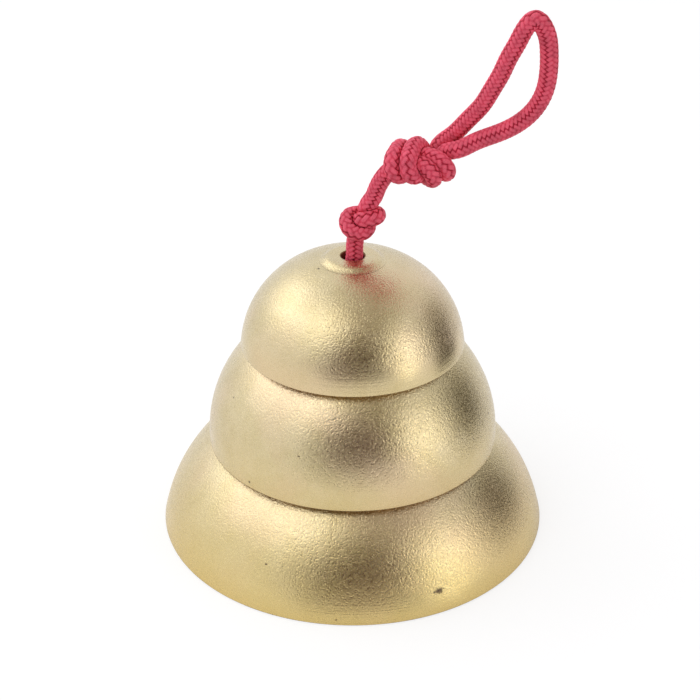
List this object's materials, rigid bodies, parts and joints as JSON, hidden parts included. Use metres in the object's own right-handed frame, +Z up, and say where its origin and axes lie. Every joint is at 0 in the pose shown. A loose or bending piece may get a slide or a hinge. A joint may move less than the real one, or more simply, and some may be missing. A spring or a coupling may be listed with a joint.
{
  "type": "stacked cup bells",
  "caption": "Nested cup bells of satin cast bronze, threaded on a knotted braided cord with a hanging loop.",
  "frame": {"origin": "centre of the large bell's rim, on the surface that the stack stands on", "axes": "+Z up along the bells' common axis; +X is the side that the hanging loop leans to, and -Y is the front"},
  "size_m": [0.0898, 0.0898, 0.1229],
  "materials": {
    "satin_bronze": "satin, finely blasted, brushed near the rims",
    "braided_cord": "braided synthetic cord"
  },
  "bodies": {
    "standing_bell": {"large_bell": "satin_bronze"},
    "lower_stack": {"lower_cord": "braided_cord", "slack_cord": "braided_cord"},
    "middle_turner": {"middle_bell": "satin_bronze"},
    "upper_stack": {"upper_cord": "braided_cord"},
    "top_turner": {"top_bell": "satin_bronze"},
    "hanging_loop": {"loop_cord": "braided_cord"}
  },
  "joints": [
    {"name": "stack_lift", "type": "slide", "parent": "standing_bell", "child": "lower_stack", "axis": [0, 0, 1], "range_m": [0, 0.01]},
    {"name": "middle_bell_turn", "type": "hinge", "parent": "lower_stack", "child": "middle_turner", "pos_m": [0, 0, 0.03], "axis": [0, 0, 1], "continuous": true},
    {"name": "top_lift", "type": "slide", "parent": "lower_stack", "child": "upper_stack", "axis": [0, 0, 1], "range_m": [0, 0.003], "deforming": ["slack_cord"]},
    {"name": "top_bell_turn", "type": "hinge", "parent": "upper_stack", "child": "top_turner", "pos_m": [0, 0, 0.055], "axis": [0, 0, 1], "continuous": true},
    {"name": "neck_swing", "type": "hinge", "parent": "upper_stack", "child": "hanging_loop", "pos_m": [0.00461, 0, 0.08177], "axis": [0, 1, 0], "range_deg": [-90, 70]}
  ]
}
